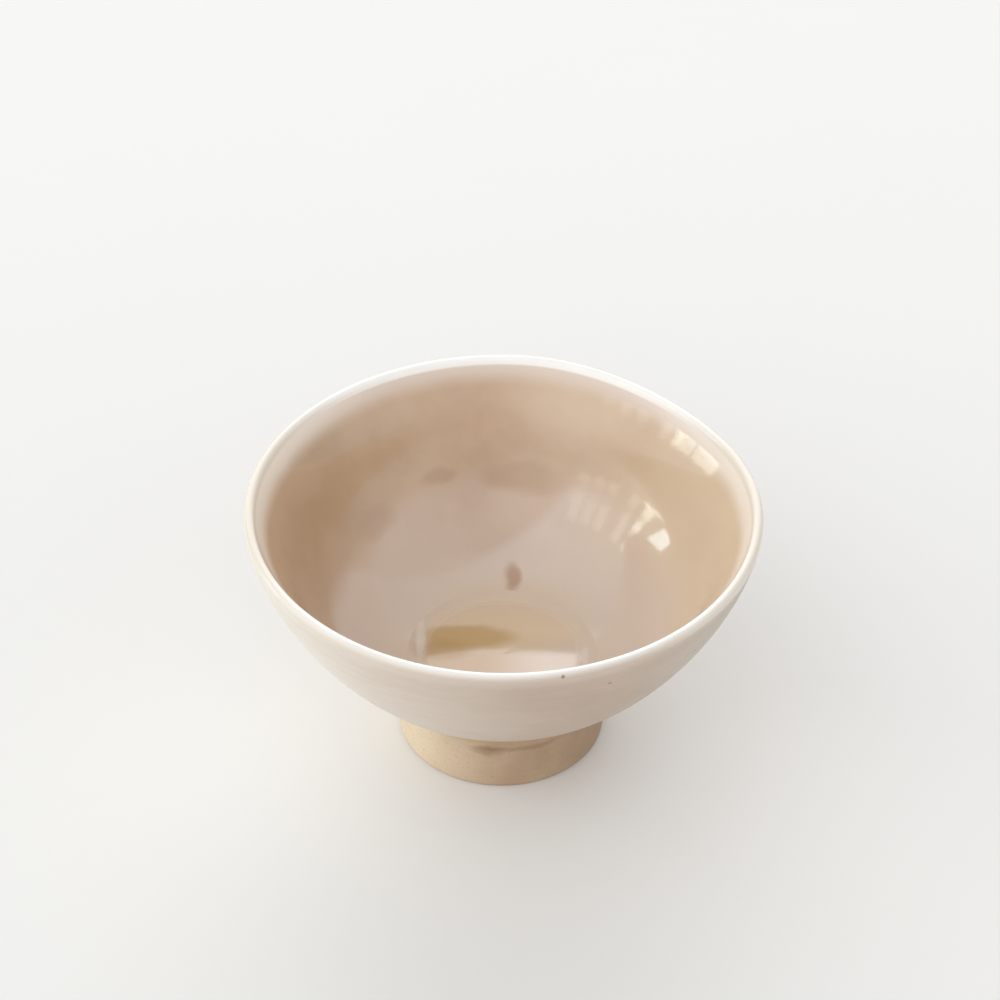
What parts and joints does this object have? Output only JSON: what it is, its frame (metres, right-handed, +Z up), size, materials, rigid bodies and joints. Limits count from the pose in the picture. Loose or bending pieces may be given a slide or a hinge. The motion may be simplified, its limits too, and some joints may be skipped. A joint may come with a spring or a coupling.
{
  "type": "footed cup",
  "caption": "Hand-thrown footed porcelain cup: a wide thin bowl, satin outside and glossy inside, with a white lip, luted on a bare clay foot ring; holds a drink and stands on a table.",
  "frame": {"origin": "centre of the foot's resting face, at table level", "axes": "+Z up along the bowl's axis, out of its mouth; +X to the right and +Y away, as the cup is seen in the picture"},
  "size_m": [0.092, 0.092, 0.051],
  "materials": {
    "bare_clay": "unglazed, fine matt buff clay",
    "joint_slip": "unglazed fired slip",
    "wall_clay": "unglazed fired clay",
    "satin_glaze": "satin cream glaze with faint throwing lines",
    "gloss_glaze": "smooth glossy rose-beige glaze",
    "white_glaze": "glossy white glaze",
    "pool_glaze": "glossy honey glaze, pooled thick"
  },
  "bodies": {
    "root": {"foot_ring": "bare_clay", "luting_slip": "joint_slip", "bowl_body": "wall_clay", "outer_glaze": "satin_glaze", "inner_glaze": "gloss_glaze", "lip_glaze": "white_glaze", "well_glaze": "pool_glaze"}
  },
  "joints": []
}
